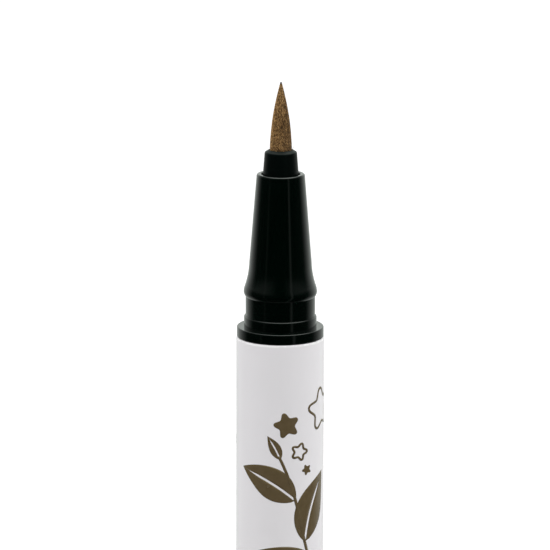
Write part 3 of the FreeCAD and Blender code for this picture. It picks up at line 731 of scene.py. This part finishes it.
def ribbon(path, width, taper):
    # Points either side of a path: half width x (1 - taper x distance from the middle squared)
    run = np.linspace(-1, 1, len(path))
    halfWidth = width / 2 * (1 - taper * run ** 2)
    side = sideways(np.gradient(path, axis=0))
    return flatGrid(path + np.array([-1.0, 0.0, 1.0])[:, None, None] * halfWidth[:, None] * side)


def leafHalves(foot, lean, length, width, bend, vein):
    # Midrib = foot + run x length along its lean + bend x sine;
    # half width = width / 2 x sin(pi x run^belly)^fullness, from the vein outwards
    run = np.linspace(0, 1, leaf["columns"])
    lean = np.radians(lean)
    way, side = np.array([np.sin(lean), np.cos(lean)]), np.array([np.cos(lean), -np.sin(lean)])
    midrib = np.array(foot) + length * (run[:, None] * way + bend * np.sin(np.pi * run)[:, None] * side)
    side = -sideways(np.gradient(midrib, axis=0))
    reach = width / 2 * np.sin(np.pi * run ** leaf["belly"]) ** leaf["fullness"]
    reach = np.maximum(reach, leaf["leastHalf"])
    gap = vein / 2 * np.clip((leaf["veinEnd"] - run) * leaf["veinFade"], 0, 1)
    share = np.linspace(0, 1, leaf["rows"])[:, None]
    across = np.minimum(gap, leaf["veinShare"] * reach) * (1 - share) + reach * share
    for sign in (1, -1):
        yield flatGrid(midrib + sign * across[..., None] * side)


def wrapFilm(name, patches, radius, body):
    # Around and up become turn and height:
    # x = reach x sin(around / radius), y = -reach x cos(around / radius), z = up
    allPoints, allFaces, count = [], [], 0
    reach = radius + film["proud"]
    for points, index in patches:
        first = points[index[1, 1]] - points[index[0, 0]]
        second = points[index[1, 0]] - points[index[0, 1]]
        if first[0] * second[1] - first[1] * second[0] < 0:
            index = index[:, ::-1]
        turn = points[:, 0] / radius
        allPoints.append(np.column_stack([reach * np.sin(turn), -reach * np.cos(turn), points[:, 1]]))
        allFaces += gridFaces(index + count)
        count += len(points)
    piece = addPiece(name, np.vstack(allPoints), allFaces, ink, body)
    wall = piece.modifiers.new("thickness", "SOLIDIFY")
    wall.thickness, wall.offset = film["thick"] * mm, -1.0
    print(f"{name}: {len(patches)} printed shapes, {len(allFaces)} faces")


sprig = {"top": 119.5, "foot": 48.0, "rise": 78.0, "girth": 2 * np.pi * barrelRadius, "start": -3.0,
         "secondDrop": 7.0, "wave": 0.8, "waveLength": 4.2, "stem": 0.42, "stemPoints": 160, "stemTaper": 0.2,
         "leafStep": 5.2, "leafLength": 8.8, "leafWidth": 4.3, "leafBend": 0.07, "vein": 0.26, "lean": 42.0,
         "leanAll": -20.0, "firstLeaf": 10.5, "firstSize": 0.9, "budDrop": 5.0, "budLean": -29.0,
         "budLength": 3.2, "budWidth": 1.4, "budBend": 0.03, "budVein": 0.18}


def sprigPatches(offset, top):
    # Stem: around = offset + girth x (top - height) / rise + a slow wave;
    # leaves leave it left and right in turn, and a bud stands at its top
    def stemAt(height):
        drop = top - height
        wave = sprig["wave"] * np.sin(drop / sprig["waveLength"])
        return np.column_stack([offset + sprig["girth"] * drop / sprig["rise"] + wave, height])
    stem = stemAt(np.linspace(sprig["foot"], top - sprig["budDrop"], sprig["stemPoints"]))
    patches = [ribbon(stem, sprig["stem"], sprig["stemTaper"])]
    patches += leafHalves(stem[-2], sprig["budLean"], sprig["budLength"], sprig["budWidth"], sprig["budBend"],
                          sprig["budVein"])
    heights = np.arange(top - sprig["firstLeaf"], sprig["foot"], -sprig["leafStep"])
    for number, base in enumerate(stemAt(heights)):
        side = 1 if number % 2 else -1
        size = 1.0 if number else sprig["firstSize"]
        patches += leafHalves(base, sprig["leanAll"] + side * sprig["lean"], sprig["leafLength"] * size,
                              sprig["leafWidth"] * size, -side * sprig["leafBend"], sprig["vein"])
    return patches


barrelStars = [  # size, around, height, tilt, line width or 0 where filled
    (2.0, 0.8, 118.2, 14, 0), (1.3, 2.4, 114.9, -18, 0.27), (0.85, 3.4, 112.6, 24, 0),
    (3.2, 6.2, 119.6, 8, 0.3), (1.5, 10.9, 115.4, -10, 0), (0.9, 13.5, 112.6, 20, 0),
    (2.0, -12.0, 118.4, 30, 0.28), (1.1, -8.8, 115.4, 0, 0)]
capStars = [
    (1.3, -2.2, 33.0, 12, 0), (0.95, 0.6, 28.6, -14, 0.25), (0.65, -1.0, 25.4, 20, 0),
    (1.5, 6.5, 30.2, 0, 0.28), (1.1, 12.4, 26.5, -20, 0), (0.7, 9.6, 34.2, 8, 0),
    (1.2, -9.6, 29.4, 16, 0.26), (0.75, -13.0, 34.0, -6, 0)]
sprigs = sprigPatches(sprig["start"], sprig["top"])
sprigs += sprigPatches(sprig["start"] + sprig["girth"] / 2, sprig["top"] - sprig["secondDrop"])
wrapFilm("barrel_print", sprigs + [starPatch(*row) for row in barrelStars], barrelRadius, "pen")
wrapFilm("cap_print", [starPatch(*row) for row in capStars], capRadius, "cap")


# Floor, light and camera


floorLook = {"rings": (0.0, 0.02, 0.2, 3.0), "turns": 64, "glowFrom": 0.1, "glowTo": 0.45,  # in metres
             "shade": (0.78, 0.78, 0.78), "tint": (0.8, 0.8, 0.8), "cloudScale": 40.0, "rough": 0.9,
             "glow": 0.6}


def paleFloor():
    # Wide disc under the pen; its camera-only glow lifts it to white where nothing shades it
    rings = np.array(floorLook["rings"])
    points, index = latheGrid(np.column_stack([rings, np.zeros(len(rings))]) / mm, floorLook["turns"])
    mesh = bpy.data.meshes.new("floor")
    mesh.from_pydata((points * mm).tolist(), [], gridFaces(index[:, ::-1]))
    material, tree, shader = newMaterial("paleFloor")
    place = piecePlace(tree)
    shade = wanderingShade(tree, noise(tree, place, floorLook["cloudScale"]), floorLook, stops=(0.0, 1.0))
    tree.links.new(shade, shader.inputs["Base Color"])
    shader.inputs["Roughness"].default_value = floorLook["rough"]
    shader.inputs["Specular IOR Level"].default_value = 0.0
    shader.inputs["Emission Color"].default_value = (1, 1, 1, 1)
    away = addNode(tree, "ShaderNodeVectorMath", {0: place}, operation="LENGTH").outputs["Value"]
    limits = {"Value": away, "From Min": floorLook["glowFrom"], "From Max": floorLook["glowTo"],
              "To Max": floorLook["glow"]}
    glow = addNode(tree, "ShaderNodeMapRange", limits).outputs[0]
    sight = addNode(tree, "ShaderNodeLightPath").outputs["Is Camera Ray"]
    tree.links.new(calc(tree, "MULTIPLY", sight, glow), shader.inputs["Emission Strength"])
    mesh.materials.append(material)
    floor = bpy.data.objects.new("floor", mesh)
    floor.visible_glossy = False
    scene.collection.objects.link(floor)


studio = {"ambient": 0.17, "fromBehind": 0.18, "fromRight": 0.08, "fromSides": 1.6,
          "mirrorTint": (0.94, 1.0, 0.95, 1), "backdrop": (0.04, 0.87, 0.74), "backdropRight": 0.04,
          "backdropClimb": 0.9, "horizon": -0.21, "sideFall": (-0.6, 0.4, 0.02), "ceiling": (0.66, 0.99, 3.8),
          "ceilingRight": 0.08, "table": (-0.3, -0.6, 0.3), "tableFront": (0.0, 0.5),
          "glowUp": (0.02, 0.3, 0.13), "glowOut": (0.1, 0.85), "cornerUp": (0.3, 0.56),
          "cornerOut": (0.2, 0.55, 0.95), "strips": [(37.0, 5.0, 0.2), (-53.0, 3.5, 0.08)], "stripCore": 0.4}


def softStudio():
    # Seen directly the surround is white. Soft light comes from all round, more from both sides.
    # Mirrored, it is a white backdrop behind the pen with dim upper corners, a bright ceiling, a pale table,
    # a dim glow high on both sides and a dark front with two dim strips.
    world = bpy.data.worlds.new("softStudio")
    scene.world = world
    world.use_nodes = True
    tree = world.node_tree
    tree.nodes.clear()
    way = addNode(tree, "ShaderNodeTexCoord").outputs["Generated"]
    x, y, z = addNode(tree, "ShaderNodeSeparateXYZ", {0: way}).outputs

    def ramp(value, low, high, level=1.0):  # 0 at low, smoothly up to level at high
        limits = {"Value": value, "From Min": low, "From Max": high, "To Max": level}
        return addNode(tree, "ShaderNodeMapRange", limits, interpolation_type="SMOOTHSTEP").outputs[0]

    def times(first, second):
        return calc(tree, "MULTIPLY", first, second)

    def add(*values):
        total = values[0]
        for value in values[1:]:
            total = calc(tree, "ADD", total, value)
        return total

    light = add(calc(tree, "MULTIPLY_ADD", y, studio["fromBehind"], studio["ambient"]),
                times(x, studio["fromRight"]), times(times(x, x), studio["fromSides"]))
    side = calc(tree, "ABSOLUTE", x)
    table = times(ramp(z, *studio["table"]), ramp(y, *studio["tableFront"]))
    rise = calc(tree, "SUBTRACT", z, studio["horizon"])
    climb = calc(tree, "MULTIPLY_ADD", rise, studio["backdropClimb"], 1.0)
    behind = ramp(add(y, times(x, studio["backdropRight"])), *studio["backdrop"])
    corner = times(ramp(z, *studio["cornerUp"]), ramp(side, *studio["cornerOut"]))
    behind = times(behind, calc(tree, "SUBTRACT", 1.0, corner))
    above = ramp(add(z, times(x, studio["ceilingRight"])), *studio["ceiling"])
    glow = times(ramp(z, *studio["glowUp"]), ramp(side, *studio["glowOut"]))
    mirror = add(times(behind, climb), ramp(y, *studio["sideFall"]), above, table, glow)
    around = calc(tree, "ARCTAN2", x, times(y, -1.0))
    for middle, halfWidth, level in studio["strips"]:
        off = calc(tree, "ABSOLUTE", calc(tree, "SUBTRACT", around, np.radians(middle)))
        core = halfWidth * studio["stripCore"]
        mirror = add(mirror, ramp(off, np.radians(halfWidth), np.radians(core), level))
    path = addNode(tree, "ShaderNodeLightPath").outputs
    glossy = path["Is Glossy Ray"]
    sight = calc(tree, "MAXIMUM", path["Is Camera Ray"], path["Is Transmission Ray"])
    level = addNode(tree, "ShaderNodeMix", {"Factor": glossy, "A": light, "B": mirror}).outputs[0]
    level = addNode(tree, "ShaderNodeMix", {"Factor": sight, "A": level, "B": 1.0}).outputs[0]
    tints = {"Fac": glossy, "Color1": (1, 1, 1, 1), "Color2": studio["mirrorTint"]}
    tint = addNode(tree, "ShaderNodeMixRGB", tints).outputs[0]
    background = addNode(tree, "ShaderNodeBackground", {"Color": tint, "Strength": level})
    output = addNode(tree, "ShaderNodeOutputWorld")
    tree.links.new(background.outputs[0], output.inputs["Surface"])


softbox = {"spot": (0.01, -0.15, 0.75), "size": 0.5, "power": 3.4}


def addSoftbox():
    # A round lamp overhead that faces the pen's foot
    lamp = bpy.data.lights.new("ceilingBox", "AREA")
    lamp.shape, lamp.size, lamp.energy = "DISK", softbox["size"], softbox["power"]
    box = bpy.data.objects.new("ceilingBox", lamp)
    turned = (-Vector(softbox["spot"])).to_track_quat("-Z", "Y").to_matrix().to_4x4()
    box.matrix_world = Matrix.Translation(softbox["spot"]) @ turned
    box.visible_glossy = box.visible_camera = False
    scene.collection.objects.link(box)


shot = {"pitch": 12.2, "roll": 0.16, "focal": 3600.0, "scale": 8.433, "mouthPixel": (280.25, 335.7),
        "picture": 550, "sensor": 36.0, "clip": (0.02, 20.0)}


def addCamera():
    # The middle of the barrel's mouth lands on its pixel:
    # place = mouth - depth x (ahead + pixel offset / focal)
    pitch, roll = np.radians(shot["pitch"]), np.radians(shot["roll"])
    ahead = np.array([0, np.cos(pitch), -np.sin(pitch)])
    level, steep = np.array([1.0, 0, 0]), np.array([0, np.sin(pitch), np.cos(pitch)])
    right, up = level * np.cos(roll) + steep * np.sin(roll), steep * np.cos(roll) - level * np.sin(roll)
    across, down = (np.array(shot["mouthPixel"]) - shot["picture"] / 2) / shot["focal"]
    depth = shot["focal"] / shot["scale"] * mm
    place = np.array([0, 0, barrelTop * mm]) - depth * (ahead + across * right - down * up)
    data = bpy.data.cameras.new("camera")
    data.sensor_width, data.lens = shot["sensor"], shot["focal"] / shot["picture"] * shot["sensor"]
    data.clip_start, data.clip_end = shot["clip"]
    camera = bpy.data.objects.new("camera", data)
    stand = np.eye(4)
    stand[:3] = np.column_stack([right, up, -ahead, place])
    camera.matrix_world = Matrix(stand.tolist())
    scene.collection.objects.link(camera)
    scene.camera = camera
    print("camera at", np.round(place / mm, 1).tolist(), "mm")


paleFloor()
softStudio()
addSoftbox()
addCamera()
